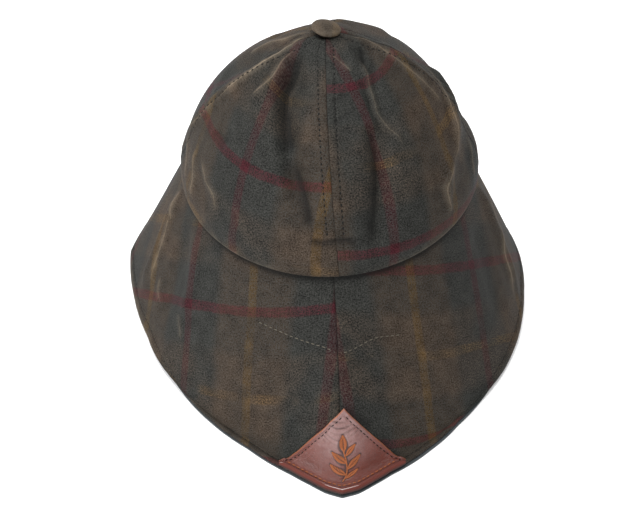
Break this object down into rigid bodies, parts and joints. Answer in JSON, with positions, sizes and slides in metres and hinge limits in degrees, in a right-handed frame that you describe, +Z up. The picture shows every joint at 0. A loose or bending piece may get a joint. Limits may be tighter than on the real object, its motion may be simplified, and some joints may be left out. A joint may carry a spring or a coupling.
{
  "type": "rain hat",
  "caption": "Soft waxed-cotton rain hat with a covered top button and a steep brim that runs long at the back to shed water clear of the collar.",
  "frame": {"origin": "middle of the hat's footprint, on the surface it lies on", "axes": "+Z up; +Y towards the wearer's front, so the long tail of the brim points to -Y; +X to the wearer's right"},
  "size_m": [0.2372, 0.3074, 0.1738],
  "materials": {
    "waxed_cotton": "waxed cotton in a dark olive, brown, burgundy and ochre plaid, low sheen",
    "facing_cotton": "dark grey-green woven cotton, matt",
    "button_cotton": "waxed cotton stretched over the button, low sheen",
    "patch_leather": "smooth reddish-brown leather with a soft gloss"
  },
  "bodies": {
    "root": {"crown_back_right": "waxed_cotton", "crown_back_left": "waxed_cotton", "crown_front_right": "waxed_cotton", "crown_front_left": "waxed_cotton", "top_button": "button_cotton", "brim_left": "waxed_cotton", "brim_right": "waxed_cotton", "hem_facing_left": "facing_cotton", "hem_facing_right": "facing_cotton", "tip_patch": "patch_leather"}
  },
  "joints": []
}
